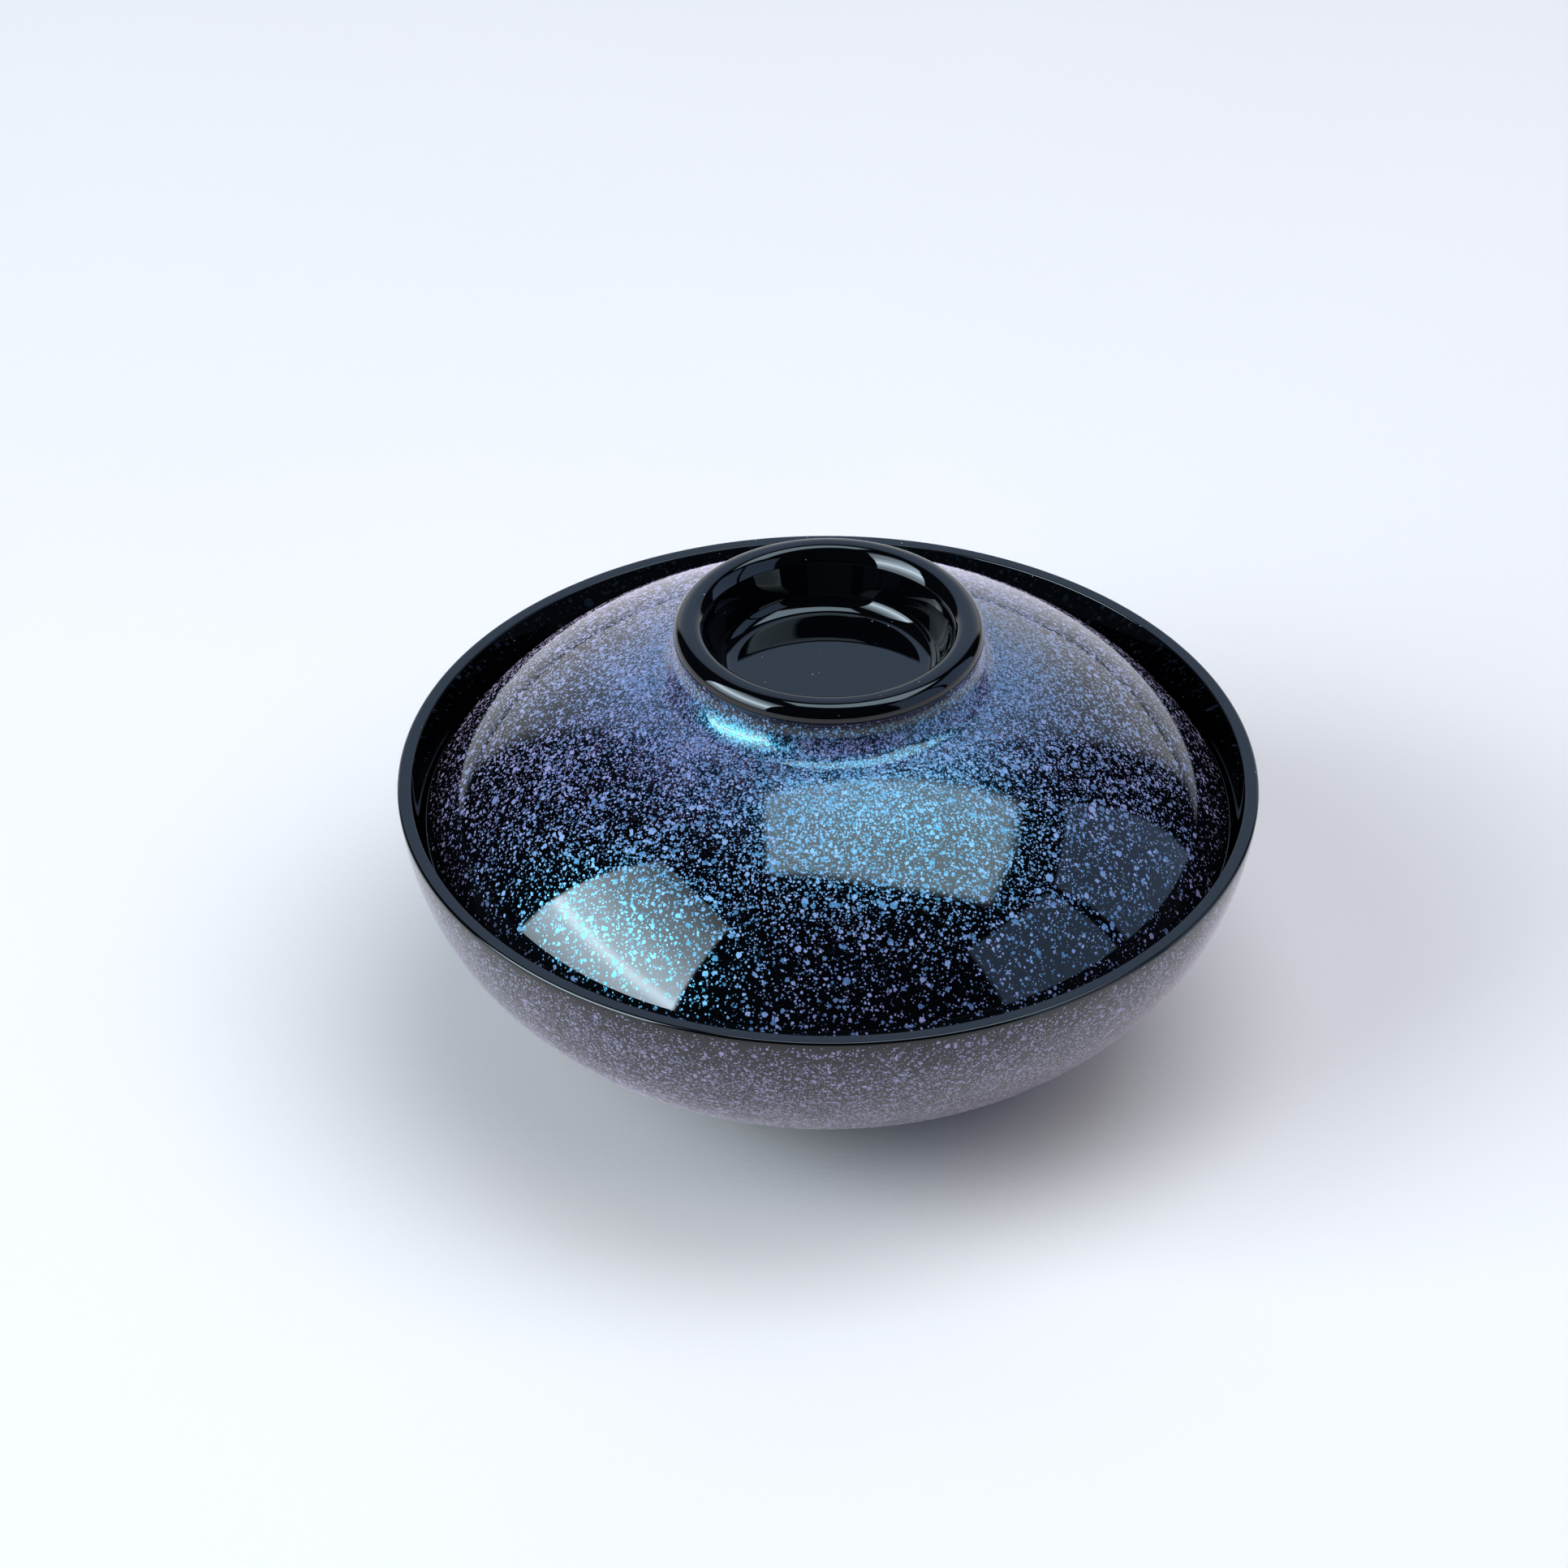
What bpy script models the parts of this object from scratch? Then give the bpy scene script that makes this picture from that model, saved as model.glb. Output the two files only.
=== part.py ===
"""Lidded rice bowl in lacquered ware: a wide footed bowl and a domed lid with a hollow ring knob.

Both pieces are turned about the Z axis. The bowl stands on the XY plane, and the lid sits inside its mouth,
a little below the rim, on the narrowing inner wall.
"""

import math

import bpy

MM = 0.001
OBJECT_NAME = "rice_bowl"
TURN_STEPS = 48
CORNER_STEPS = 3
WALL_STEPS = 10
CROWN_STEPS = 4
SHOULDER_STEPS = 6
SEAM_MERGE = 1e-5

# Bowl: heights are above the table.
BOWL_HEIGHT = 45.5 * MM
WALL_CENTRE_RADIUS = 26.5 * MM
WALL_CENTRE_RISE = 3.3 * MM
WALL_ARC_RADIUS = 41.0 * MM
WALL_END_ANGLE = math.radians(-84.0)
LIP_WIDTH = 2.2 * MM
LIP_OUTER_ROUND = 0.5 * MM
LIP_INNER_ROUND = 0.3 * MM
INNER_FLOOR_HEIGHT = 12.0 * MM
FOOT_RADIUS = 27.0 * MM
FOOT_FLARE = 0.4 * MM
FOOT_WIDTH = 3.4 * MM
FOOT_ROUND = 0.6 * MM
FOOT_RECESS = 6.8 * MM
FOOT_TOP_ROUND = 1.6 * MM
FOOT_RECESS_ROUND = 1.2 * MM

# Lid: heights are above the bowl's rim, and slopes are from the horizontal.
CROWN_TOP = 24.8 * MM
CROWN_ARC_RADIUS = 85.0 * MM
CROWN_SLOPE = math.radians(32.0)
SHOULDER_ARC_RADIUS = 54.0 * MM
EDGE_SLOPE = math.radians(60.4)
LID_THICKNESS = 2.4 * MM
LID_EDGE_ROUND = 0.8 * MM
CEILING_HEIGHT = 17.6 * MM
CEILING_ROUND = 25.0 * MM

# Ring knob of the lid: a round-topped bead on a waist that flares into the dome, round a cup-like recess.
KNOB_HEIGHT = 29.8 * MM
KNOB_RADIUS = 24.0 * MM
KNOB_ROUND = 2.5 * MM
CREST_RADIUS = 20.35 * MM
CREST_ROUND = 1.8 * MM
BEAD_HEIGHT = 2.9 * MM
BEAD_ROUND = 0.8 * MM
WAIST_RADIUS = 22.9 * MM
WAIST_HEIGHT = 26.0 * MM
WAIST_ROUND = 0.6 * MM
FLARE_ROUND = 5.2 * MM
RECESS_MOUTH_RADIUS = 18.95 * MM
RECESS_MOUTH_HEIGHT = 28.4 * MM
RECESS_MOUTH_ROUND = 4.0 * MM
RECESS_BASE_RADIUS = 16.6 * MM
RECESS_FLOOR_HEIGHT = 20.5 * MM
RECESS_ROUND = 3.2 * MM

SPECKLED_BLACK = (0.030, 0.032, 0.052, 1.0)
SPECKLED_VIOLET = (0.048, 0.044, 0.066, 1.0)


def arc(centre, radius, start, end, steps):
    """Points (r, z) along an arc, with the angle measured from the outward direction towards +Z."""
    angles = [start + (end - start) * step / steps for step in range(steps + 1)]
    return [(centre[0] + radius * math.cos(a), centre[1] + radius * math.sin(a)) for a in angles]


def plain(points):
    """Outline nodes that take no rounding."""
    return [(r, z, 0.0) for r, z in points]


def round_corner(before, corner, after, radius):
    """Replaces a corner by an arc of this radius that is tangent to both of its sides."""
    back = (before[0] - corner[0], before[1] - corner[1])
    ahead = (after[0] - corner[0], after[1] - corner[1])
    back_length = math.hypot(*back)
    ahead_length = math.hypot(*ahead)
    back = (back[0] / back_length, back[1] / back_length)
    ahead = (ahead[0] / ahead_length, ahead[1] / ahead_length)
    half_angle = math.acos(back[0] * ahead[0] + back[1] * ahead[1]) / 2.0
    middle = (back[0] + ahead[0], back[1] + ahead[1])
    middle_length = math.hypot(*middle)
    reach = radius / math.sin(half_angle)
    centre = (corner[0] + middle[0] / middle_length * reach, corner[1] + middle[1] / middle_length * reach)
    tangent = radius / math.tan(half_angle)
    first = (corner[0] + back[0] * tangent, corner[1] + back[1] * tangent)
    last = (corner[0] + ahead[0] * tangent, corner[1] + ahead[1] * tangent)
    start = math.atan2(first[1] - centre[1], first[0] - centre[0])
    sweep = math.atan2(last[1] - centre[1], last[0] - centre[0]) - start
    sweep = (sweep + math.pi) % (2.0 * math.pi) - math.pi
    return arc(centre, radius, start, start + sweep, CORNER_STEPS)


def rounded_outline(nodes):
    """Turns nodes (r, z, rounding radius) into the points of an outline."""
    points = []
    for index, (r, z, radius) in enumerate(nodes):
        if radius:
            points += round_corner(nodes[index - 1], (r, z), nodes[index + 1], radius)
        else:
            points.append((r, z))
    return points


def bowl_outline():
    """From the middle of the inner floor over the lip, down the outside and under the foot to the axis."""
    outer_centre = (WALL_CENTRE_RADIUS, BOWL_HEIGHT + WALL_CENTRE_RISE)
    rim_radius = WALL_CENTRE_RADIUS + math.sqrt(WALL_ARC_RADIUS**2 - WALL_CENTRE_RISE**2)
    mouth_radius = rim_radius - LIP_WIDTH

    # The inner arc leaves the flat floor level and reaches the lip's inner edge.
    reach = mouth_radius - WALL_CENTRE_RADIUS
    depth = BOWL_HEIGHT - INNER_FLOOR_HEIGHT
    inner_radius = (reach**2 + depth**2) / (2.0 * depth)
    inner_centre = (WALL_CENTRE_RADIUS, INNER_FLOOR_HEIGHT + inner_radius)
    mouth_angle = math.asin((BOWL_HEIGHT - inner_centre[1]) / inner_radius)
    rim_angle = -math.asin(WALL_CENTRE_RISE / WALL_ARC_RADIUS)
    foot_top = outer_centre[1] - WALL_ARC_RADIUS

    nodes = [(0.0, INNER_FLOOR_HEIGHT, 0.0)]
    nodes += plain(arc(inner_centre, inner_radius, -math.pi / 2.0, mouth_angle, WALL_STEPS)[:-1])
    nodes += [(mouth_radius, BOWL_HEIGHT, LIP_INNER_ROUND), (rim_radius, BOWL_HEIGHT, LIP_OUTER_ROUND)]
    nodes += plain(arc(outer_centre, WALL_ARC_RADIUS, rim_angle, WALL_END_ANGLE, WALL_STEPS)[1:])
    nodes += [
        (FOOT_RADIUS - FOOT_FLARE, foot_top, FOOT_TOP_ROUND),
        (FOOT_RADIUS, 0.0, FOOT_ROUND),
        (FOOT_RADIUS - FOOT_WIDTH, 0.0, FOOT_ROUND),
        (FOOT_RADIUS - FOOT_WIDTH - FOOT_FLARE, FOOT_RECESS, FOOT_RECESS_ROUND),
        (0.0, FOOT_RECESS, 0.0),
    ]
    return rounded_outline(nodes)


def dome_arcs(thickness, first_radius):
    """The dome's profile at this depth below its outside, from first_radius out to the edge."""
    crown_centre = (0.0, BOWL_HEIGHT + CROWN_TOP - CROWN_ARC_RADIUS)
    bend = CROWN_ARC_RADIUS - SHOULDER_ARC_RADIUS
    shoulder_centre = (bend * math.sin(CROWN_SLOPE), crown_centre[1] + bend * math.cos(CROWN_SLOPE))
    crown_radius = CROWN_ARC_RADIUS - thickness
    upright = math.pi / 2.0
    first_angle = math.acos(first_radius / crown_radius)
    crown = arc(crown_centre, crown_radius, first_angle, upright - CROWN_SLOPE, CROWN_STEPS)
    shoulder_radius = SHOULDER_ARC_RADIUS - thickness
    shoulder = arc(shoulder_centre, shoulder_radius, upright - CROWN_SLOPE, upright - EDGE_SLOPE, SHOULDER_STEPS)
    return crown + shoulder[1:]


def lid_outline():
    """From the middle of the knob's recess over the knob, down the dome, round the edge and under to the axis."""
    knob_top = BOWL_HEIGHT + KNOB_HEIGHT
    recess_floor = BOWL_HEIGHT + RECESS_FLOOR_HEIGHT
    ceiling = BOWL_HEIGHT + CEILING_HEIGHT
    crown_centre_height = BOWL_HEIGHT + CROWN_TOP - CROWN_ARC_RADIUS
    waist_foot = crown_centre_height + math.sqrt(CROWN_ARC_RADIUS**2 - WAIST_RADIUS**2)
    inner_crown_radius = CROWN_ARC_RADIUS - LID_THICKNESS
    ceiling_radius = math.sqrt(inner_crown_radius**2 - (ceiling - crown_centre_height) ** 2)

    outside = dome_arcs(0.0, WAIST_RADIUS + FLARE_ROUND)
    inside = dome_arcs(LID_THICKNESS, ceiling_radius + FLARE_ROUND)
    nodes = [
        (0.0, recess_floor, 0.0),
        (RECESS_BASE_RADIUS, recess_floor, RECESS_ROUND),
        (RECESS_MOUTH_RADIUS, BOWL_HEIGHT + RECESS_MOUTH_HEIGHT, RECESS_MOUTH_ROUND),
        (CREST_RADIUS, knob_top, CREST_ROUND),
        (KNOB_RADIUS, knob_top, KNOB_ROUND),
        (KNOB_RADIUS, knob_top - BEAD_HEIGHT, BEAD_ROUND),
        (WAIST_RADIUS, BOWL_HEIGHT + WAIST_HEIGHT, WAIST_ROUND),
        (WAIST_RADIUS, waist_foot, FLARE_ROUND),
    ]
    nodes += plain(outside[:-1])
    nodes += [(*outside[-1], LID_EDGE_ROUND), (*inside[-1], LID_EDGE_ROUND)]
    nodes += plain(reversed(inside[:-1]))
    nodes += [(ceiling_radius, ceiling, CEILING_ROUND), (0.0, ceiling, 0.0)]
    return rounded_outline(nodes)


def lacquer(name, color):
    """Glossy coloured lacquer."""
    material = bpy.data.materials.new(name)
    material.use_nodes = True
    material.diffuse_color = color
    shader = material.node_tree.nodes["Principled BSDF"]
    shader.inputs["Base Color"].default_value = color
    shader.inputs["Roughness"].default_value = 0.12
    shader.inputs["Metallic"].default_value = 0.0
    shader.inputs["Coat Weight"].default_value = 1.0
    return material


def turned(name, outline, material, collection):
    """A piece turned about the Z axis from a closed outline (r, z) that starts and ends on the axis."""
    mesh = bpy.data.meshes.new(name)
    edges = [(index, index + 1) for index in range(len(outline) - 1)]
    mesh.from_pydata([(r, 0.0, z) for r, z in outline], edges, [])
    piece = bpy.data.objects.new(name, mesh)
    piece.data.materials.append(material)
    collection.objects.link(piece)

    screw = piece.modifiers.new("turning", "SCREW")
    screw.axis = "Z"
    screw.angle = 2.0 * math.pi
    screw.steps = TURN_STEPS
    screw.render_steps = TURN_STEPS
    screw.use_merge_vertices = True
    screw.merge_threshold = SEAM_MERGE
    screw.use_smooth_shade = True
    return piece


def clear_scene():
    """Removes whatever the scene holds."""
    for item in list(bpy.data.objects):
        bpy.data.objects.remove(item, do_unlink=True)


def main():
    clear_scene()
    collection = bpy.data.collections.new(OBJECT_NAME)
    bpy.context.scene.collection.children.link(collection)
    turned("bowl", bowl_outline(), lacquer("bowl_lacquer", SPECKLED_VIOLET), collection)
    turned("lid", lid_outline(), lacquer("lid_lacquer", SPECKLED_BLACK), collection)


main()
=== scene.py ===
"""Looks of the lidded rice bowl: black gloss lacquer under a spray of colour-shifting droplets.

Both pieces are turned again here from the CAD profile, in finer steps, so that the gloss shows no facets.
"""
import math

import bpy
from mathutils import Matrix, Vector


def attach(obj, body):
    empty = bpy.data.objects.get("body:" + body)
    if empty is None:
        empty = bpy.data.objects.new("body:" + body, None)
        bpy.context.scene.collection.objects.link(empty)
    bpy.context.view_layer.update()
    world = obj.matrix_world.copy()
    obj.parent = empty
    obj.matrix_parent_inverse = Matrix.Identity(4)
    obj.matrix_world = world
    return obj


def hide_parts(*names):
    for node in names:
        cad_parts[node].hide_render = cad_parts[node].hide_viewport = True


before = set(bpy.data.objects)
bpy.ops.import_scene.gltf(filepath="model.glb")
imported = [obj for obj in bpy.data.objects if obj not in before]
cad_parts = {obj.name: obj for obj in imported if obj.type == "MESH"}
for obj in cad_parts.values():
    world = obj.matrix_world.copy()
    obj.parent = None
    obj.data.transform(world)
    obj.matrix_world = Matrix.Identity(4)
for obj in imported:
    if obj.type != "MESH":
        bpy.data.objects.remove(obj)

MM = 0.001

# How finely the turned pieces are divided.
TURN_STEPS = 384
ARC_STEP = 0.45 * MM
ARC_TURN = math.radians(3.0)
FLAT_STEP = 1.5 * MM

# Bowl: heights are above the table.
BOWL_HEIGHT = 45.5 * MM
WALL_CENTRE_RADIUS = 26.5 * MM
WALL_CENTRE_RISE = 3.3 * MM
WALL_ARC_RADIUS = 41.0 * MM
WALL_END_ANGLE = math.radians(-84.0)
LIP_WIDTH = 2.2 * MM
LIP_OUTER_ROUND = 0.5 * MM
LIP_INNER_ROUND = 0.3 * MM
INNER_FLOOR_HEIGHT = 12.0 * MM
FOOT_RADIUS = 27.0 * MM
FOOT_FLARE = 0.4 * MM
FOOT_WIDTH = 3.4 * MM
FOOT_ROUND = 0.6 * MM
FOOT_RECESS = 6.8 * MM
FOOT_TOP_ROUND = 1.6 * MM
FOOT_RECESS_ROUND = 1.2 * MM

# Lid: heights are above the bowl's rim, and slopes are from the horizontal.
CROWN_TOP = 24.8 * MM
CROWN_ARC_RADIUS = 85.0 * MM
CROWN_SLOPE = math.radians(32.0)
SHOULDER_ARC_RADIUS = 54.0 * MM
EDGE_SLOPE = math.radians(60.4)
LID_THICKNESS = 2.4 * MM
LID_EDGE_ROUND = 0.8 * MM
CEILING_HEIGHT = 17.6 * MM
CEILING_ROUND = 25.0 * MM

# Ring knob of the lid.
KNOB_HEIGHT = 29.8 * MM
KNOB_RADIUS = 24.0 * MM
KNOB_ROUND = 2.5 * MM
CREST_RADIUS = 20.35 * MM
CREST_ROUND = 1.8 * MM
BEAD_HEIGHT = 2.9 * MM
BEAD_ROUND = 0.8 * MM
WAIST_RADIUS = 22.9 * MM
WAIST_HEIGHT = 26.0 * MM
WAIST_ROUND = 0.6 * MM
FLARE_ROUND = 5.2 * MM
RECESS_MOUTH_RADIUS = 18.95 * MM
RECESS_MOUTH_HEIGHT = 28.4 * MM
RECESS_MOUTH_ROUND = 4.0 * MM
RECESS_BASE_RADIUS = 16.6 * MM
RECESS_FLOOR_HEIGHT = 20.5 * MM
RECESS_ROUND = 3.2 * MM

# Droplet cover, in rows of (place in mm, cover): by radius on the lid, and by height on the bowl's outside.
LID_COVER = ((22.0, 0.50), (28.0, 0.50), (36.0, 0.44), (44.0, 0.40), (50.0, 0.30), (55.0, 0.21), (59.0, 0.15),
             (61.5, 0.10), (62.6, 0.03), (63.2, 0.0))
BOWL_COVER = ((0.0, 0.0), (7.0, 0.2), (9.0, 0.36), (30.0, 0.33), (38.0, 0.28), (42.5, 0.18), (44.3, 0.10),
              (44.8, 0.0))
FULL_COVER = 0.5

# Coarseness, from 0 for fine droplets to 1 for coarse ones: by radius on the lid, and even on the bowl.
LID_COARSE = ((24.0, 0.0), (30.0, 0.35), (38.0, 0.8), (46.0, 1.0), (63.0, 1.0))
BOWL_COARSE = 0.45

# The spray fades out up the knob's side. The heights are above the bowl's rim.
KNOB_SPRAY_TOP = 27.2 * MM
SPRAY_STRAY = 0.3 * MM
SPRAY_FADE = 4.6 * MM
SPRAY_FADE_POWER = 1.5
FOOT_CONTACT = 0.05 * MM

# Droplet sizes: spacing in mm, largest radius as a share of it, how many places hold a droplet where the
# cover is full, how far its cells are shifted, and the kind of spray it belongs to.
DROPLET_SIZES = (
    (2.30, 0.30, 0.22, 3.1, "coarse"),
    (1.25, 0.40, 0.50, 11.7, "coarse"),
    (0.72, 0.46, 0.62, 23.9, "even"),
    (0.46, 0.52, 0.62, 37.3, "fine"),
    (0.30, 0.52, 0.62, 51.1, "fine"),
)
SHIFT_DIRECTION = (1.0, 1.7, -0.6)
SMALLEST_SHARE = 0.45
DROPLET_SOFTNESS = 0.04
OUTLINE_WANDER = 0.62
FINE_WANDER_SHARE = 0.3

# Noises, as (scale, detail, roughness): the lacquer's scales are per mm, and the floor's are per metre.
OUTLINE_NOISE = (2.9, 2.0, 0.65)
PATCH_NOISE = (0.11, 3.0, 0.6)
MIST_NOISE = (5.5, 2.0, 0.6)
BODY_NOISE = (3.3, 2.0, 0.6)
HAZE_NOISE = (0.05, 4.0, 0.65)
RUBBED_NOISE = (1.0, 2.0, 0.5)
RUBBED_STRETCH = (0.35, 6.0, 0.35)
WAVE_NOISE = (0.22, 1.0, 0.4)
PAPER_NOISE = (9.0, 3.0, 0.55)
TOOTH_NOISE = (900.0, 2.0, 0.5)

# Smooth steps, as (from low, from high, to start, to end).
PATCH_STEP = (0.3, 0.7, 0.75, 1.25)
FINE_STEP = (0.0, 1.0, 1.5, 0.75)
MIST_STEP = (0.42, 0.66, 0.0, 1.0)
MIST_NEAR_KNOB = (0.0, 1.0, 0.7, 0.0)
TONE_THICKNESS = (0.0, 1.0, 0.62, 1.2)
BODY_THICKNESS = (0.3, 0.7, 0.7, 1.25)
PIGMENT_STEP = (0.1, 0.9, 0.0, 1.0)
DROPLET_ROUGHNESS = (0.0, 1.0, 0.33, 0.43)
HAZE_STEP = (0.35, 0.75, 0.012, 0.035)
RUBBED_STEP = (0.62, 0.75, 0.0, 0.03)

# Lacquer colours, with the two ends of each piece's pigment, and the gloss of the droplets.
BLACK = (0.0007, 0.0008, 0.0012)
BLACK_ROUGHNESS = 0.3
LID_PIGMENTS = ((0.07, 0.115, 0.26), (0.195, 0.13, 0.27))
BOWL_PIGMENTS = ((0.105, 0.095, 0.145), (0.15, 0.115, 0.16))
LID_GLINT = (0.02, 0.78, 1.0)
BOWL_GLINT = (0.46, 0.52, 0.92)
GLINT_IOR = 2.2
GLINT_LEVEL = 0.85
LID_EDGE_GLOW = 1.0
BOWL_EDGE_GLOW = 0.45
SHEEN_TINT = (1.0, 0.70, 0.92)
SHEEN_ROUGHNESS = 0.4

# Clear coat: it is half as strong over droplets, and barely waves.
COAT_IOR = 1.5
COAT_LOSS = 0.5
COAT_ROUGHNESS_ON_DROPLETS = 0.14
WAVE_DEPTH = 0.006 * MM

# Dust: spacing and largest radius in mm.
DUST_SPACING = 2.4
DUST_RADIUS = 0.10
DUST_SMALLEST_SHARE = 0.4
DUST_GREY = (0.30, 0.32, 0.36)

# Floor.
FLOOR_REACH = 6.0
FLOOR_NEAR = 0.50
FLOOR_FAR = 1.60
NEAR_TONES = ((0.615, 0.542, 0.516), (0.635, 0.562, 0.531))
FAR_TONE = (0.70, 0.71, 0.73)
PAPER_ROUGHNESS = 0.85
PAPER_GLOSS = 0.2
TOOTH_STRENGTH = 0.15
TOOTH_DEPTH = 0.2 * MM

# Tall softbox at the front left: its middle, width and height are shares of its distance.
WINDOW_AZIMUTH = -67.5
WINDOW_DISTANCE = 1.6
WINDOW_MIDDLE = 0.94
WINDOW_WIDTH = 0.94
WINDOW_HEIGHT = 1.72
WINDOW_COLOUR = (0.70, 0.87, 1.0)
WINDOW_RADIANCE = 12.5
SOFTBOX_EDGE = 0.05

# Its brightness by height as a share of its distance, in smooth steps.
GLOW_FOOT = (0.20, 0.62, 0.3, 1.0)
GLOW_UPPER = (0.62, 1.15, 1.0, 0.42)
GLOW_TOP = (1.05, 1.80, 1.0, 0.30)
BAND_RISE = (0.54, 0.62, 0.0, 1.0)
BAND_FALL = (0.62, 0.70, 0.6, 0.0)

# Tilted softbox overhead: its ends and its depth are shares of its height.
OVERHEAD_HEIGHT = 1.10
OVERHEAD_LEFT = (-0.217, 0.01, 1.0)
OVERHEAD_RIGHT = (0.386, 0.01, 0.526)
OVERHEAD_DEPTH = 0.365
OVERHEAD_COLOUR = (0.64, 0.86, 1.0)
OVERHEAD_RADIANCE = 4.5

# Broad fill above the right.
FILL_AZIMUTH = 75.0
FILL_ELEVATION = 68.0
FILL_DISTANCE = 1.9
FILL_SIZE = 2.6
FILL_COLOUR = (0.96, 0.97, 1.0)
FILL_RADIANCE = 2.1
FILL_EDGE = 0.5

# Dim boards at the right: name, azimuth, azimuths of both sides, and height, at a distance of one metre.
BOARDS = (("board_front", 56.0, 48.5, 85.5, 1.04), ("board_back", 104.0, 87.5, 120.0, 0.92))
BOARD_DISTANCE = 1.0
BOARD_FOOT = 0.04
BOARD_COLOUR = (0.42, 0.62, 1.0)
BOARD_RADIANCE = 1.0
BOARD_EDGE = 0.03

# Surroundings: dark, with a bright backdrop whose sides and top are slopes seen from the bowl.
ROOM_DARK = (0.010, 0.011, 0.013)
BACKDROP_LOW = (0.95, 0.97, 1.0)
BACKDROP_HIGH = (0.50, 0.69, 1.0)
BACKDROP_BLUE_HEIGHT = 0.58
BACKDROP_LEFT = (-0.90, -0.72, 0.0, 1.0)
BACKDROP_RIGHT = (0.78, 0.95, 1.0, 0.0)
BACKDROP_TOP = (1.6, 2.4, 1.0, 0.0)
NEARLY_ZERO = 0.001

# Camera: the aim is off the rim's middle by a little.
CAMERA_DISTANCE = 1.020
CAMERA_ELEVATION = math.radians(36.19)
CAMERA_LENS = 149.7
SENSOR_WIDTH = 36.0
AIM_LEFT = 0.00688
AIM_DOWN = 0.00131

# Places of a Mix node's sockets, which share their names between kinds of data.
MIX_FLOAT_A, MIX_FLOAT_B, MIX_COLOUR_A, MIX_COLOUR_B = 2, 3, 6, 7
MIX_COLOUR_RESULT = 2


def arc(centre, radius, start, end):
    """Points (r, z) along an arc, with the angle measured from the outward direction towards +Z."""
    sweep = abs(end - start)
    steps = max(2, math.ceil(sweep * radius / ARC_STEP), math.ceil(sweep / ARC_TURN))
    angles = [start + (end - start) * step / steps for step in range(steps + 1)]
    return [(centre[0] + radius * math.cos(a), centre[1] + radius * math.sin(a)) for a in angles]


def plain(points):
    """Outline nodes that take no rounding."""
    return [(r, z, 0.0) for r, z in points]


def round_corner(before, corner, after, radius):
    """Replaces a corner by an arc of this radius that is tangent to both of its sides."""
    back = (before[0] - corner[0], before[1] - corner[1])
    ahead = (after[0] - corner[0], after[1] - corner[1])
    back_length = math.hypot(*back)
    ahead_length = math.hypot(*ahead)
    back = (back[0] / back_length, back[1] / back_length)
    ahead = (ahead[0] / ahead_length, ahead[1] / ahead_length)
    half_angle = math.acos(back[0] * ahead[0] + back[1] * ahead[1]) / 2.0
    middle = (back[0] + ahead[0], back[1] + ahead[1])
    middle_length = math.hypot(*middle)
    reach = radius / math.sin(half_angle)
    centre = (corner[0] + middle[0] / middle_length * reach, corner[1] + middle[1] / middle_length * reach)
    tangent = radius / math.tan(half_angle)
    first = (corner[0] + back[0] * tangent, corner[1] + back[1] * tangent)
    last = (corner[0] + ahead[0] * tangent, corner[1] + ahead[1] * tangent)
    start = math.atan2(first[1] - centre[1], first[0] - centre[0])
    sweep = math.atan2(last[1] - centre[1], last[0] - centre[0]) - start
    sweep = (sweep + math.pi) % (2.0 * math.pi) - math.pi
    return arc(centre, radius, start, start + sweep)


def rounded_outline(nodes):
    """Turns nodes (r, z, rounding radius) into an outline's points, with long straight runs divided."""
    points = []
    for index, (r, z, radius) in enumerate(nodes):
        if radius:
            points += round_corner(nodes[index - 1], (r, z), nodes[index + 1], radius)
        else:
            points.append((r, z))
    fine = [points[0]]
    for last, point in zip(points, points[1:]):
        parts = max(1, math.ceil(math.dist(last, point) / FLAT_STEP))
        for part in range(1, parts + 1):
            share = part / parts
            fine.append((last[0] + (point[0] - last[0]) * share, last[1] + (point[1] - last[1]) * share))
    return fine


def bowl_outline():
    """From the middle of the inner floor over the lip, down the outside and under the foot to the axis."""
    outer_centre = (WALL_CENTRE_RADIUS, BOWL_HEIGHT + WALL_CENTRE_RISE)
    rim_radius = WALL_CENTRE_RADIUS + math.sqrt(WALL_ARC_RADIUS**2 - WALL_CENTRE_RISE**2)
    mouth_radius = rim_radius - LIP_WIDTH
    reach = mouth_radius - WALL_CENTRE_RADIUS
    depth = BOWL_HEIGHT - INNER_FLOOR_HEIGHT
    inner_radius = (reach**2 + depth**2) / (2.0 * depth)
    inner_centre = (WALL_CENTRE_RADIUS, INNER_FLOOR_HEIGHT + inner_radius)
    mouth_angle = math.asin((BOWL_HEIGHT - inner_centre[1]) / inner_radius)
    rim_angle = -math.asin(WALL_CENTRE_RISE / WALL_ARC_RADIUS)
    foot_top = outer_centre[1] - WALL_ARC_RADIUS

    nodes = [(0.0, INNER_FLOOR_HEIGHT, 0.0)]
    nodes += plain(arc(inner_centre, inner_radius, -math.pi / 2.0, mouth_angle)[:-1])
    nodes += [(mouth_radius, BOWL_HEIGHT, LIP_INNER_ROUND), (rim_radius, BOWL_HEIGHT, LIP_OUTER_ROUND)]
    nodes += plain(arc(outer_centre, WALL_ARC_RADIUS, rim_angle, WALL_END_ANGLE)[2:])
    nodes += [
        (FOOT_RADIUS - FOOT_FLARE, foot_top, FOOT_TOP_ROUND),
        (FOOT_RADIUS, 0.0, FOOT_ROUND),
        (FOOT_RADIUS - FOOT_WIDTH, 0.0, FOOT_ROUND),
        (FOOT_RADIUS - FOOT_WIDTH - FOOT_FLARE, FOOT_RECESS, FOOT_RECESS_ROUND),
        (0.0, FOOT_RECESS, 0.0),
    ]
    return rounded_outline(nodes)


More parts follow.
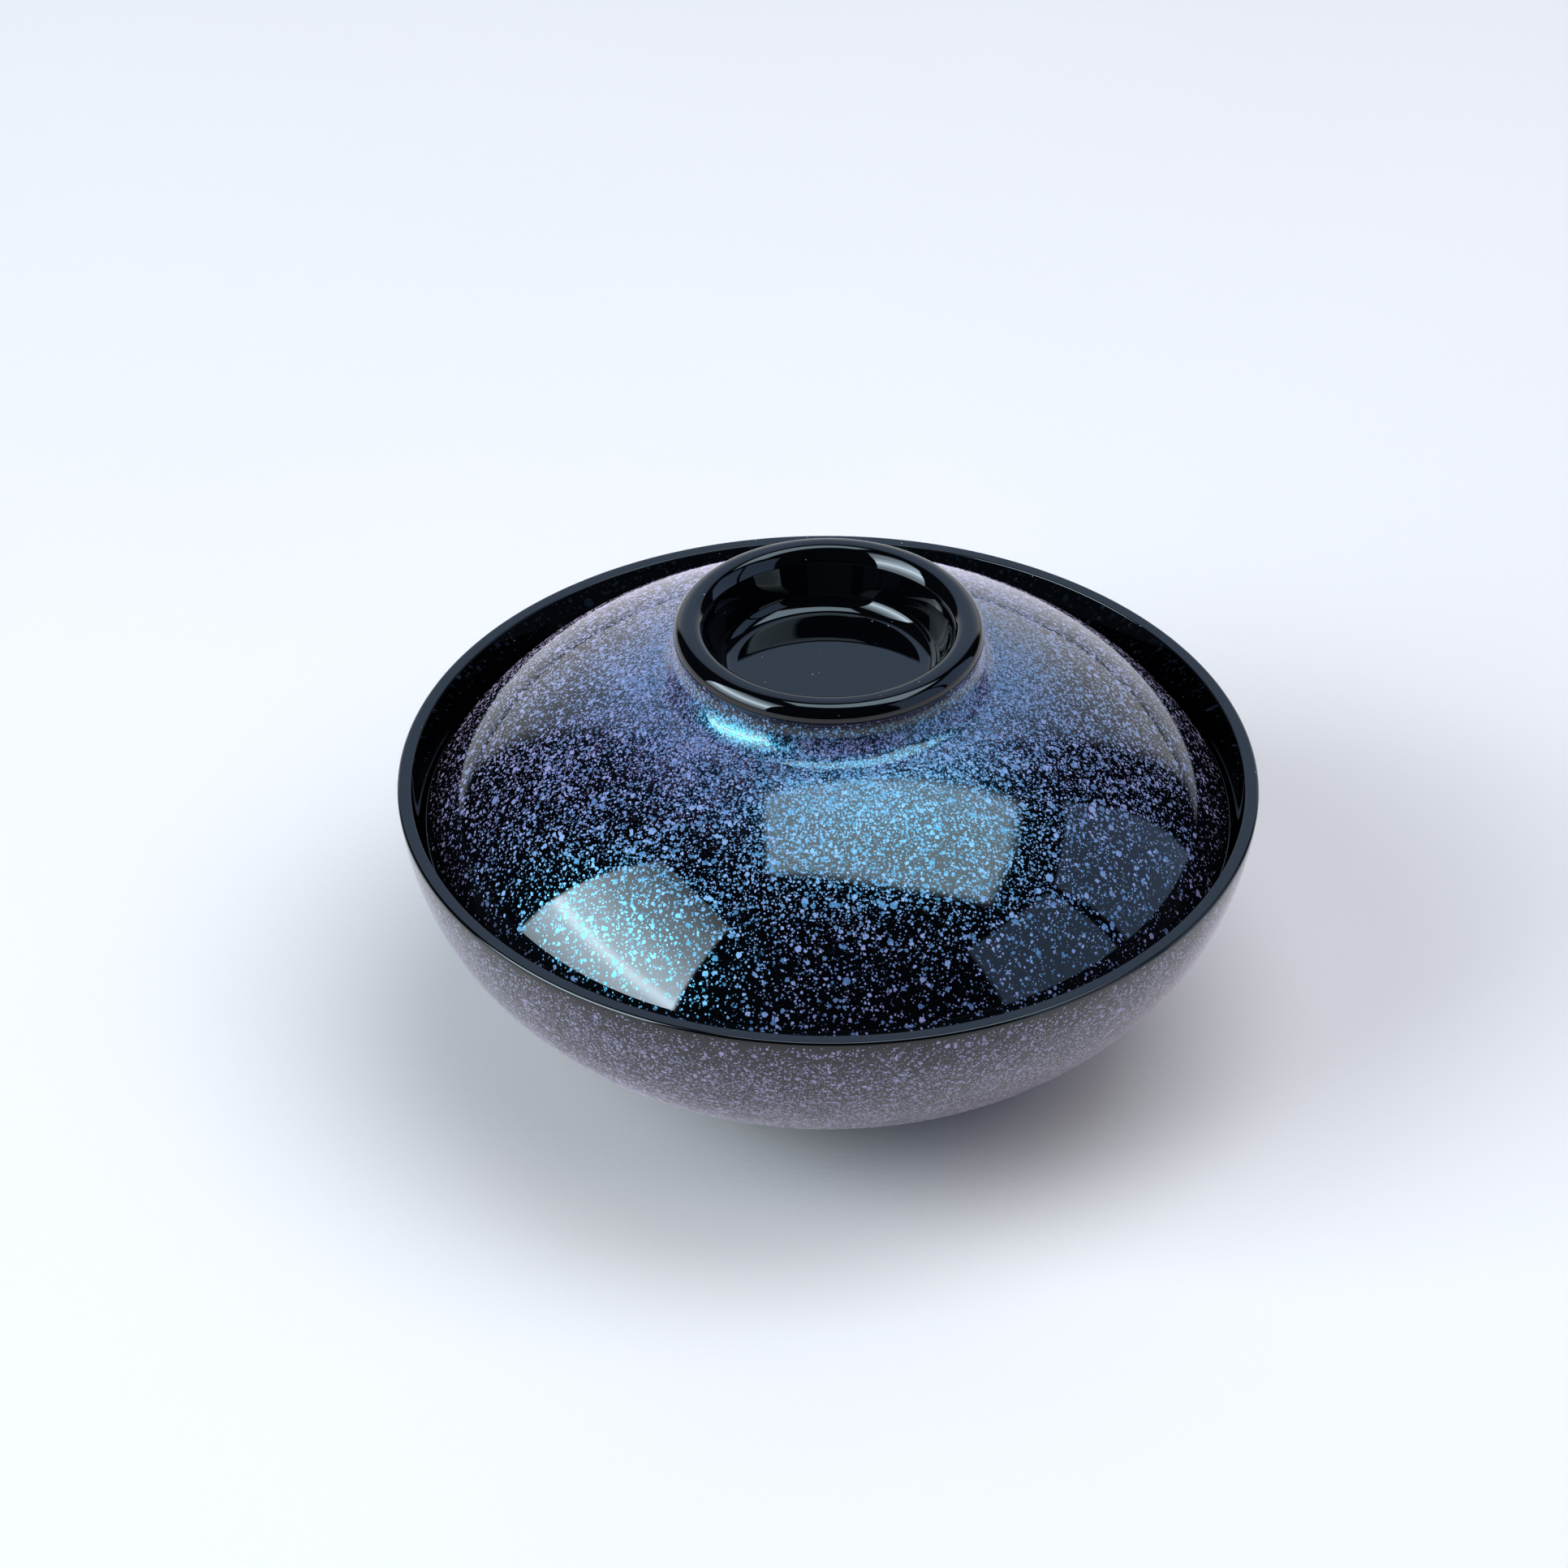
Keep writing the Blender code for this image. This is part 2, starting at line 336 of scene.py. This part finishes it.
def dome_arcs(thickness, first_radius):
    """The dome's profile at this depth below its outside, from first_radius out to the edge."""
    crown_centre = (0.0, BOWL_HEIGHT + CROWN_TOP - CROWN_ARC_RADIUS)
    bend = CROWN_ARC_RADIUS - SHOULDER_ARC_RADIUS
    shoulder_centre = (bend * math.sin(CROWN_SLOPE), crown_centre[1] + bend * math.cos(CROWN_SLOPE))
    crown_radius = CROWN_ARC_RADIUS - thickness
    upright = math.pi / 2.0
    crown = arc(crown_centre, crown_radius, math.acos(first_radius / crown_radius), upright - CROWN_SLOPE)
    shoulder_radius = SHOULDER_ARC_RADIUS - thickness
    shoulder = arc(shoulder_centre, shoulder_radius, upright - CROWN_SLOPE, upright - EDGE_SLOPE)
    return crown + shoulder[1:]


def lid_outline():
    """From the middle of the recess over the knob, down the dome, round the edge and under to the axis."""
    knob_top = BOWL_HEIGHT + KNOB_HEIGHT
    recess_floor = BOWL_HEIGHT + RECESS_FLOOR_HEIGHT
    ceiling = BOWL_HEIGHT + CEILING_HEIGHT
    crown_centre_height = BOWL_HEIGHT + CROWN_TOP - CROWN_ARC_RADIUS
    waist_foot = crown_centre_height + math.sqrt(CROWN_ARC_RADIUS**2 - WAIST_RADIUS**2)
    inner_crown_radius = CROWN_ARC_RADIUS - LID_THICKNESS
    ceiling_radius = math.sqrt(inner_crown_radius**2 - (ceiling - crown_centre_height) ** 2)

    outside = dome_arcs(0.0, WAIST_RADIUS + FLARE_ROUND)
    inside = dome_arcs(LID_THICKNESS, ceiling_radius + FLARE_ROUND)
    nodes = [
        (0.0, recess_floor, 0.0),
        (RECESS_BASE_RADIUS, recess_floor, RECESS_ROUND),
        (RECESS_MOUTH_RADIUS, BOWL_HEIGHT + RECESS_MOUTH_HEIGHT, RECESS_MOUTH_ROUND),
        (CREST_RADIUS, knob_top, CREST_ROUND),
        (KNOB_RADIUS, knob_top, KNOB_ROUND),
        (KNOB_RADIUS, knob_top - BEAD_HEIGHT, BEAD_ROUND),
        (WAIST_RADIUS, BOWL_HEIGHT + WAIST_HEIGHT, WAIST_ROUND),
        (WAIST_RADIUS, waist_foot, FLARE_ROUND),
    ]
    nodes += plain(outside[:-1])
    nodes += [(*outside[-1], LID_EDGE_ROUND), (*inside[-1], LID_EDGE_ROUND)]
    nodes += plain(reversed(inside[:-1]))
    nodes += [(ceiling_radius, ceiling, CEILING_ROUND), (0.0, ceiling, 0.0)]
    return rounded_outline(nodes)


def between(table, value):
    """Reads a table of (place, amount) with straight lines between its rows."""
    if value <= table[0][0]:
        return table[0][1]
    for (x0, y0), (x1, y1) in zip(table, table[1:]):
        if value <= x1:
            return y0 + (y1 - y0) * (value - x0) / (x1 - x0)
    return table[-1][1]


def lid_spray(points):
    """Cover and coarseness along the lid's outline: droplets on the dome and the knob's side only."""
    edge = max(range(len(points)), key=lambda index: points[index][0])
    top = BOWL_HEIGHT + KNOB_SPRAY_TOP + SPRAY_STRAY
    cover = []
    for index, (r, z) in enumerate(points):
        if index <= edge and r > CREST_RADIUS and z < top:
            fade = min(1.0, (top - z) / SPRAY_FADE)
            cover.append(between(LID_COVER, r / MM) * fade**SPRAY_FADE_POWER)
        else:
            cover.append(0.0)
    return cover, [between(LID_COARSE, r / MM) for r, z in points]


def bowl_spray(points):
    """Cover and coarseness along the bowl's outline: droplets outside only, from the foot to the lip."""
    lip = max(range(len(points)), key=lambda index: points[index][0])
    foot = min(index for index, (r, z) in enumerate(points) if index > lip and z < FOOT_CONTACT)
    cover = [0.0] * len(points)
    for index in range(lip, foot + 1):
        cover[index] = between(BOWL_COVER, points[index][1] / MM)
    return cover, [BOWL_COARSE] * len(points)


def turned(name, outline, cover, coarse):
    """A closed piece turned about the Z axis, with the droplets' cover and coarseness as point attributes."""
    inner = outline[1:-1]
    count = len(inner)
    vertices = [(0.0, 0.0, outline[0][1]), (0.0, 0.0, outline[-1][1])]
    spray = [cover[0], cover[-1]]
    blobs = [coarse[0], coarse[-1]]
    for step in range(TURN_STEPS):
        angle = 2.0 * math.pi * step / TURN_STEPS
        vertices += [(r * math.cos(angle), r * math.sin(angle), z) for r, z in inner]
        spray += cover[1:-1]
        blobs += coarse[1:-1]
    faces = []
    for step in range(TURN_STEPS):
        here = 2 + step * count
        there = 2 + (step + 1) % TURN_STEPS * count
        faces.append((0, here, there))
        faces += [(here + k, here + k + 1, there + k + 1, there + k) for k in range(count - 1)]
        faces.append((1, there + count - 1, here + count - 1))
    mesh = bpy.data.meshes.new(name)
    mesh.from_pydata(vertices, [], faces)
    mesh.attributes.new("spray", "FLOAT", "POINT").data.foreach_set("value", spray)
    mesh.attributes.new("coarse", "FLOAT", "POINT").data.foreach_set("value", blobs)
    mesh.shade_smooth()
    piece = bpy.data.objects.new(name, mesh)
    bpy.context.scene.collection.objects.link(piece)
    return piece


class Graph:
    """Short names for wiring the nodes of a material, a light or the world."""

    def __init__(self, tree):
        self.tree = tree

    def node(self, kind, **settings):
        made = self.tree.nodes.new(kind)
        for key, value in settings.items():
            setattr(made, key, value)
        return made

    def put(self, socket, value):
        """Links an output to a socket, or sets the socket's own value."""
        if isinstance(value, bpy.types.NodeSocket):
            self.tree.links.new(value, socket)
        elif isinstance(value, tuple) and len(value) == 3 and socket.type == "RGBA":
            socket.default_value = (*value, 1.0)
        else:
            socket.default_value = value

    def math(self, operation, a, b=0.0):
        made = self.node("ShaderNodeMath", operation=operation)
        self.put(made.inputs[0], a)
        self.put(made.inputs[1], b)
        return made.outputs[0]

    def ramp(self, value, low, high, start=0.0, end=1.0):
        """A smooth step from start at low to end at high."""
        made = self.node("ShaderNodeMapRange", interpolation_type="SMOOTHSTEP")
        settings = {"Value": value, "From Min": low, "From Max": high, "To Min": start, "To Max": end}
        for key, item in settings.items():
            self.put(made.inputs[key], item)
        return made.outputs["Result"]

    def mix(self, share, a, b, kind="MIX"):
        """A colour between a and b."""
        made = self.node("ShaderNodeMix", data_type="RGBA", blend_type=kind)
        self.put(made.inputs[0], share)
        self.put(made.inputs[MIX_COLOUR_A], a)
        self.put(made.inputs[MIX_COLOUR_B], b)
        return made.outputs[MIX_COLOUR_RESULT]

    def blend(self, share, a, b):
        """A number between a and b."""
        made = self.node("ShaderNodeMix", data_type="FLOAT")
        self.put(made.inputs[0], share)
        self.put(made.inputs[MIX_FLOAT_A], a)
        self.put(made.inputs[MIX_FLOAT_B], b)
        return made.outputs[0]

    def grey(self, value):
        made = self.node("ShaderNodeCombineColor")
        for socket in made.inputs:
            self.put(socket, value)
        return made.outputs[0]

    def channels(self, colour):
        made = self.node("ShaderNodeSeparateColor")
        self.put(made.inputs[0], colour)
        return made.outputs

    def axes(self, vector):
        made = self.node("ShaderNodeSeparateXYZ")
        self.put(made.inputs[0], vector)
        return made.outputs

    def vector(self, operation, a, b=(0.0, 0.0, 0.0)):
        made = self.node("ShaderNodeVectorMath", operation=operation)
        self.put(made.inputs[0], a)
        self.put(made.inputs[1], b)
        return made.outputs["Value" if operation in ("LENGTH", "DOT_PRODUCT") else "Vector"]

    def scaled(self, vector, factor):
        return self.vector("MULTIPLY", vector, (factor, factor, factor))

    def noise(self, place, scale, detail, roughness):
        made = self.node("ShaderNodeTexNoise")
        self.put(made.inputs["Vector"], place)
        self.put(made.inputs["Scale"], scale)
        self.put(made.inputs["Detail"], detail)
        self.put(made.inputs["Roughness"], roughness)
        return made.outputs

    def cells(self, place, spacing):
        """Cells strewn through space: the distance to the nearest one, and three random numbers for it."""
        made = self.node("ShaderNodeTexVoronoi", feature="F1")
        self.put(made.inputs["Vector"], place)
        self.put(made.inputs["Scale"], 1.0 / spacing)
        return made.outputs["Distance"], self.channels(made.outputs["Color"])

    def bump(self, height, strength, depth):
        made = self.node("ShaderNodeBump")
        self.put(made.inputs["Strength"], strength)
        self.put(made.inputs["Distance"], depth)
        self.put(made.inputs["Height"], height)
        return made.outputs["Normal"]


def droplets(graph, place, cover, spacing, biggest, share, shift):
    """One size of droplet: balls of paint strewn through space, cut by the surface into uneven spots.

    spacing is in mm, biggest is the largest radius as a share of it, and share says how many places hold a
    droplet where the cover is full. It returns where the droplets are, and a random tone for each.
    """
    moved = graph.vector("ADD", place, tuple(shift * step for step in SHIFT_DIRECTION))
    distance, (size, pick, tone) = graph.cells(moved, spacing)
    density = graph.math("MULTIPLY", graph.math("MULTIPLY", cover, 1.0 / FULL_COVER), share)
    held = graph.math("LESS_THAN", pick, density)
    radius = graph.ramp(size, 0.0, 1.0, SMALLEST_SHARE * biggest, biggest)
    soft = DROPLET_SOFTNESS / spacing
    spot = graph.ramp(graph.math("SUBTRACT", radius, distance), -soft, soft)
    return graph.math("MULTIPLY", spot, held), tone


def spray(graph, place):
    """All droplets and the mist: where they are, and a random tone for each droplet."""
    cover = graph.node("ShaderNodeAttribute", attribute_name="spray").outputs["Fac"]
    coarse = graph.node("ShaderNodeAttribute", attribute_name="coarse").outputs["Fac"]

    # Droplets are never round: their outlines wander, and neighbours run together.
    ragged = graph.noise(place, *OUTLINE_NOISE)["Color"]
    wander = graph.scaled(graph.vector("SUBTRACT", ragged, (0.5, 0.5, 0.5)), OUTLINE_WANDER)
    strewn = graph.vector("ADD", place, wander)
    fine_strewn = graph.vector("ADD", place, graph.scaled(wander, FINE_WANDER_SHARE))
    patchy = graph.noise(place, *PATCH_NOISE)["Fac"]
    cover = graph.math("MULTIPLY", cover, graph.ramp(patchy, *PATCH_STEP))
    kinds = {
        "coarse": (strewn, graph.math("MULTIPLY", cover, coarse)),
        "even": (strewn, cover),
        "fine": (fine_strewn, graph.math("MULTIPLY", cover, graph.ramp(coarse, *FINE_STEP))),
    }
    mask = None
    tone = None
    for spacing, biggest, share, shift, kind in DROPLET_SIZES:
        spot, pick = droplets(graph, *kinds[kind], spacing, biggest, share, shift)
        mask = spot if mask is None else graph.math("MAXIMUM", mask, spot)
        tone = pick if tone is None else graph.blend(spot, tone, pick)

    # A thin mist of the finest spray lies between the droplets near the knob.
    mist = graph.ramp(graph.noise(place, *MIST_NOISE)["Fac"], *MIST_STEP)
    mist = graph.math("MULTIPLY", mist, graph.math("MULTIPLY", cover, graph.ramp(coarse, *MIST_NEAR_KNOB)))
    return graph.math("MAXIMUM", mask, mist), tone


def speckled_lacquer(name, pigments, glint, edge_glow):
    """Black gloss lacquer with droplets of interference pigment: blue-violet, with a coloured glint."""
    material = bpy.data.materials.new(name)
    material.use_nodes = True
    graph = Graph(material.node_tree)
    inputs = material.node_tree.nodes["Principled BSDF"].inputs
    place = graph.scaled(graph.node("ShaderNodeTexCoord").outputs["Object"], 1.0 / MM)
    mask, tone = spray(graph, place)
    body = graph.ramp(graph.noise(place, *BODY_NOISE)["Fac"], *BODY_THICKNESS)
    thick = graph.math("MULTIPLY", graph.ramp(tone, *TONE_THICKNESS), body)

    # A few specks of dust lie on it.
    distance, (size, _, _) = graph.cells(place, DUST_SPACING)
    largest = DUST_RADIUS / DUST_SPACING
    reach = graph.ramp(size, 0.0, 1.0, DUST_SMALLEST_SHARE * largest, largest)
    dust = graph.math("LESS_THAN", distance, reach)

    pigment = graph.mix(graph.ramp(tone, *PIGMENT_STEP), *pigments)
    pigment = graph.mix(1.0, pigment, graph.grey(thick), "MULTIPLY")
    graph.put(inputs["Base Color"], graph.mix(dust, graph.mix(mask, BLACK, pigment), DUST_GREY))
    graph.put(inputs["Metallic"], 0.0)
    graph.put(inputs["IOR"], GLINT_IOR)
    graph.put(inputs["Specular Tint"], glint)
    level = graph.math("MULTIPLY", graph.math("MULTIPLY", mask, thick), GLINT_LEVEL)
    graph.put(inputs["Specular IOR Level"], level)
    graph.put(inputs["Roughness"], graph.blend(mask, BLACK_ROUGHNESS, graph.ramp(tone, *DROPLET_ROUGHNESS)))
    graph.put(inputs["Sheen Weight"], graph.math("MULTIPLY", mask, edge_glow))
    graph.put(inputs["Sheen Roughness"], SHEEN_ROUGHNESS)
    graph.put(inputs["Sheen Tint"], SHEEN_TINT)

    # The coat is level on the black and uneven on the droplets, with a little haze and fine rubbing marks.
    haze = graph.noise(place, *HAZE_NOISE)["Fac"]
    rubbed = graph.noise(graph.vector("MULTIPLY", place, RUBBED_STRETCH), *RUBBED_NOISE)["Fac"]
    gloss = graph.math("ADD", graph.ramp(haze, *HAZE_STEP), graph.ramp(rubbed, *RUBBED_STEP))
    clear = graph.math("SUBTRACT", 1.0, graph.math("MULTIPLY", mask, COAT_LOSS))
    graph.put(inputs["Coat Weight"], graph.math("MULTIPLY", clear, graph.math("SUBTRACT", 1.0, dust)))
    graph.put(inputs["Coat IOR"], COAT_IOR)
    graph.put(inputs["Coat Roughness"], graph.blend(mask, gloss, COAT_ROUGHNESS_ON_DROPLETS))
    graph.put(inputs["Coat Normal"], graph.bump(graph.noise(place, *WAVE_NOISE)["Fac"], 1.0, WAVE_DEPTH))
    return material


def floor_material():
    """Matt white paper with a very fine tooth."""
    material = bpy.data.materials.new("white_paper")
    material.use_nodes = True
    graph = Graph(material.node_tree)
    inputs = material.node_tree.nodes["Principled BSDF"].inputs
    where = graph.node("ShaderNodeTexCoord").outputs["Object"]
    near_tone = graph.mix(graph.noise(where, *PAPER_NOISE)["Fac"], *NEAR_TONES)
    far = graph.ramp(graph.vector("LENGTH", where), FLOOR_NEAR, FLOOR_FAR)
    graph.put(inputs["Base Color"], graph.mix(far, near_tone, FAR_TONE))
    graph.put(inputs["Roughness"], PAPER_ROUGHNESS)
    graph.put(inputs["Specular IOR Level"], PAPER_GLOSS)
    tooth = graph.noise(where, *TOOTH_NOISE)["Fac"]
    graph.put(inputs["Normal"], graph.bump(tooth, TOOTH_STRENGTH, TOOTH_DEPTH))
    return material


def bearing(azimuth, elevation=0.0):
    """A direction from the bowl, in degrees: azimuth 0 is towards the viewer, and 90 is to the right."""
    a, e = math.radians(azimuth), math.radians(elevation)
    return Vector((math.sin(a) * math.cos(e), -math.cos(a) * math.cos(e), math.sin(e)))


def panel(name, centre, along, normal, width, height, colour, radiance, edge, glow=None):
    """A flat softbox that shines towards its normal.

    Its width lies along one direction, edge is how far it fades at its sides, and glow(graph, place) is its
    brightness from place to place.
    """
    light = bpy.data.lights.new(name, "AREA")
    light.shape = "RECTANGLE"
    light.size = width
    light.size_y = height
    light.energy = math.pi * width * height
    z = -normal.normalized()
    x = along.normalized()
    y = z.cross(x)
    lamp = bpy.data.objects.new(name, light)
    lamp.matrix_world = Matrix.Translation(centre) @ Matrix((x, y, z)).transposed().to_4x4()
    bpy.context.scene.collection.objects.link(lamp)
    light.use_nodes = True
    graph = Graph(light.node_tree)
    emission = light.node_tree.nodes["Emission"]
    graph.put(emission.inputs["Color"], colour)
    place = graph.node("ShaderNodeNewGeometry").outputs["Position"]
    offset = graph.vector("SUBTRACT", place, tuple(centre))
    strength = radiance
    for axis, size in ((x, width), (y, height)):
        out = graph.math("ABSOLUTE", graph.vector("DOT_PRODUCT", offset, tuple(axis)))
        fade = graph.ramp(out, size / 2.0 - edge, size / 2.0, 1.0, 0.0)
        strength = graph.math("MULTIPLY", fade, strength)
    if glow is not None:
        strength = graph.math("MULTIPLY", glow(graph, place), strength)
    graph.put(emission.inputs["Strength"], strength)
    return lamp


def window_glow(graph, place):
    """Brightness over the tall softbox: brightest in a band low down, fading towards its foot and its top."""
    height = graph.math("DIVIDE", graph.axes(place)["Z"], WINDOW_DISTANCE)
    foot = graph.ramp(height, *GLOW_FOOT)
    upper = graph.math("MULTIPLY", graph.ramp(height, *GLOW_UPPER), graph.ramp(height, *GLOW_TOP))
    band = graph.math("MULTIPLY", graph.ramp(height, *BAND_RISE), graph.ramp(height, *BAND_FALL))
    return graph.math("ADD", graph.math("MULTIPLY", foot, upper), band)


def floor():
    """A pale sheet of paper that reaches well beyond the view."""
    reach = FLOOR_REACH
    corners = [(-reach, -reach, 0.0), (reach, -reach, 0.0), (reach, reach, 0.0), (-reach, reach, 0.0)]
    mesh = bpy.data.meshes.new("floor")
    mesh.from_pydata(corners, [], [(0, 1, 2, 3)])
    sheet = bpy.data.objects.new("floor", mesh)
    sheet.data.materials.append(floor_material())
    bpy.context.scene.collection.objects.link(sheet)


def lights():
    """The softboxes, the fill and the boards round the bowl."""
    up = Vector((0.0, 0.0, 1.0))
    toward = bearing(WINDOW_AZIMUTH)
    panel("window_light", (toward + up * WINDOW_MIDDLE) * WINDOW_DISTANCE, toward.cross(up), -toward,
          WINDOW_WIDTH * WINDOW_DISTANCE, WINDOW_HEIGHT * WINDOW_DISTANCE, WINDOW_COLOUR, WINDOW_RADIANCE,
          SOFTBOX_EDGE, window_glow)

    left = Vector(OVERHEAD_LEFT) * OVERHEAD_HEIGHT
    right = Vector(OVERHEAD_RIGHT) * OVERHEAD_HEIGHT
    along = right - left
    panel("overhead_light", (left + right) / 2.0, along, Vector((along.z, 0.0, -along.x)), along.length,
          OVERHEAD_DEPTH * OVERHEAD_HEIGHT, OVERHEAD_COLOUR, OVERHEAD_RADIANCE, SOFTBOX_EDGE)

    toward = bearing(FILL_AZIMUTH, FILL_ELEVATION)
    fill = panel("fill_light", toward * FILL_DISTANCE, toward.cross(up), -toward, FILL_SIZE, FILL_SIZE,
                 FILL_COLOUR, FILL_RADIANCE, FILL_EDGE)
    # It is too soft to leave a reflection.
    fill.visible_glossy = False

    for name, azimuth, first, last, height in BOARDS:
        toward = bearing(azimuth)
        start = math.tan(math.radians(first - azimuth))
        end = math.tan(math.radians(last - azimuth))
        sideways = up.cross(toward)
        rise = up * (height / 2.0 + BOARD_FOOT)
        centre = toward * BOARD_DISTANCE + sideways * (start + end) / 2.0 + rise
        panel(name, centre, sideways, -toward, end - start, height, BOARD_COLOUR, BOARD_RADIANCE, BOARD_EDGE)


def surroundings():
    """A dark room with a bright backdrop behind the bowl."""
    world = bpy.data.worlds.new("room")
    bpy.context.scene.world = world
    world.use_nodes = True
    graph = Graph(world.node_tree)
    background = world.node_tree.nodes["Background"]
    x, y, z = graph.axes(graph.node("ShaderNodeTexCoord").outputs["Generated"])
    ahead = graph.math("MAXIMUM", y, NEARLY_ZERO)
    side = graph.math("DIVIDE", x, ahead)
    rise = graph.math("DIVIDE", z, ahead)
    wall = graph.math("MULTIPLY", graph.ramp(side, *BACKDROP_LEFT), graph.ramp(side, *BACKDROP_RIGHT))
    wall = graph.math("MULTIPLY", wall, graph.ramp(rise, *BACKDROP_TOP))
    wall = graph.math("MULTIPLY", wall, graph.math("GREATER_THAN", y, 0.0))
    backdrop = graph.mix(graph.ramp(z, 0.0, BACKDROP_BLUE_HEIGHT), BACKDROP_LOW, BACKDROP_HIGH)
    graph.put(background.inputs["Color"], graph.mix(wall, ROOM_DARK, backdrop))
    graph.put(background.inputs["Strength"], 1.0)


def camera():
    """Looks down at the bowl from the front through a long lens."""
    data = bpy.data.cameras.new("camera")
    data.lens = CAMERA_LENS
    data.sensor_width = SENSOR_WIDTH
    seen = bpy.data.objects.new("camera", data)
    bpy.context.scene.collection.objects.link(seen)
    back = Vector((0.0, -math.cos(CAMERA_ELEVATION), math.sin(CAMERA_ELEVATION)))
    upward = Vector((0.0, math.sin(CAMERA_ELEVATION), math.cos(CAMERA_ELEVATION)))
    rim_centre = Vector((0.0, 0.0, BOWL_HEIGHT))
    seen.location = rim_centre + back * CAMERA_DISTANCE
    aim = rim_centre + Vector((-AIM_LEFT, 0.0, 0.0)) - upward * AIM_DOWN
    seen.rotation_euler = (aim - seen.location).to_track_quat("-Z", "Y").to_euler()
    bpy.context.scene.camera = seen


def main():
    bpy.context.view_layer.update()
    bpy.context.scene.view_settings.view_transform = "Standard"
    looks = (
        ("bowl", bowl_outline(), bowl_spray, BOWL_PIGMENTS, BOWL_GLINT, BOWL_EDGE_GLOW),
        ("lid", lid_outline(), lid_spray, LID_PIGMENTS, LID_GLINT, LID_EDGE_GLOW),
    )
    for body, outline, spray_along, pigments, glint, edge_glow in looks:
        piece = turned(body + "_turned", outline, *spray_along(outline))
        piece.data.materials.append(speckled_lacquer(body + "_lacquer", pigments, glint, edge_glow))
        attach(piece, body)
        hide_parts(body)
    floor()
    lights()
    surroundings()
    camera()


main()
